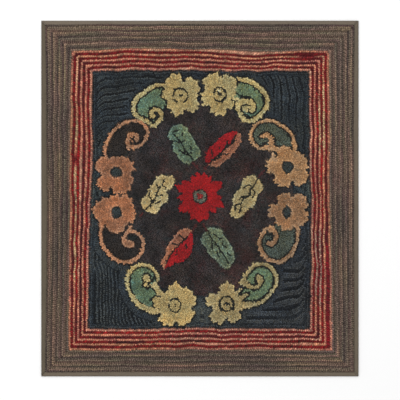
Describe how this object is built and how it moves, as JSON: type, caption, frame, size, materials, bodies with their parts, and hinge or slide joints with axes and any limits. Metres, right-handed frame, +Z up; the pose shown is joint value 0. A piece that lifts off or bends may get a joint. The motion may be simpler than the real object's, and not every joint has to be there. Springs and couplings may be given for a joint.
{
  "type": "hooked rug",
  "caption": "Flat hooked wool rug with a bound edge, a striped border mitred at its corners and a wreath of flowers, leaves and scrolls round a dark medallion.",
  "frame": {"origin": "middle of the rug's flat underside", "axes": "+X to the right of the design, +Y to its top, along the longer sides, and +Z up out of the pile"},
  "size_m": [0.91, 1.02, 0.0095],
  "materials": {
    "hooked_pile": "matt hooked wool loops",
    "binding_tape": "matt woven tape"
  },
  "bodies": {
    "root": {"hooked_pile": "hooked_pile", "binding_top": "binding_tape", "binding_right": "binding_tape", "binding_bottom": "binding_tape", "binding_left": "binding_tape"}
  },
  "joints": []
}
